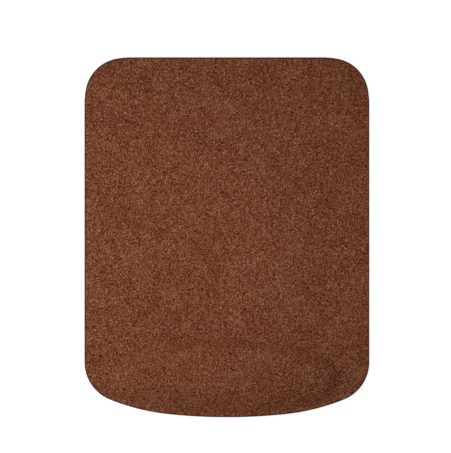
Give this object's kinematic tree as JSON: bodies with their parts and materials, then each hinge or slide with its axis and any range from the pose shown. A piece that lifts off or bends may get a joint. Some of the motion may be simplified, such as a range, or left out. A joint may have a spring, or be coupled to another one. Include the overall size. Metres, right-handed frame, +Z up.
{
  "type": "mouse pad with wrist rest",
  "caption": "Portrait mouse pad with rounded corners and a bowed front edge, and a raised gel wrist rest under one brown brushed fabric.",
  "frame": {"origin": "middle of the pad's outline on the desk, in the plane of the underside's lands", "axes": "+X to the user's right across the pad, +Y away from the user towards the back edge, +Z up from the desk; the wrist rest is at -Y"},
  "size_m": [0.19, 0.24, 0.0131],
  "materials": {
    "cover_fabric": "matte",
    "clear_film": "satin",
    "gel": "gloss",
    "melt_film": "matte",
    "foam": "matte",
    "grip_rubber": "matte"
  },
  "bodies": {
    "root": {"cover_fabric": "cover_fabric", "backing_film": "clear_film", "gel_core": "gel", "seal_film": "clear_film", "top_bond_film": "melt_film", "foam_sheet": "foam", "base_bond_film": "melt_film", "grip_base": "grip_rubber"}
  },
  "joints": []
}
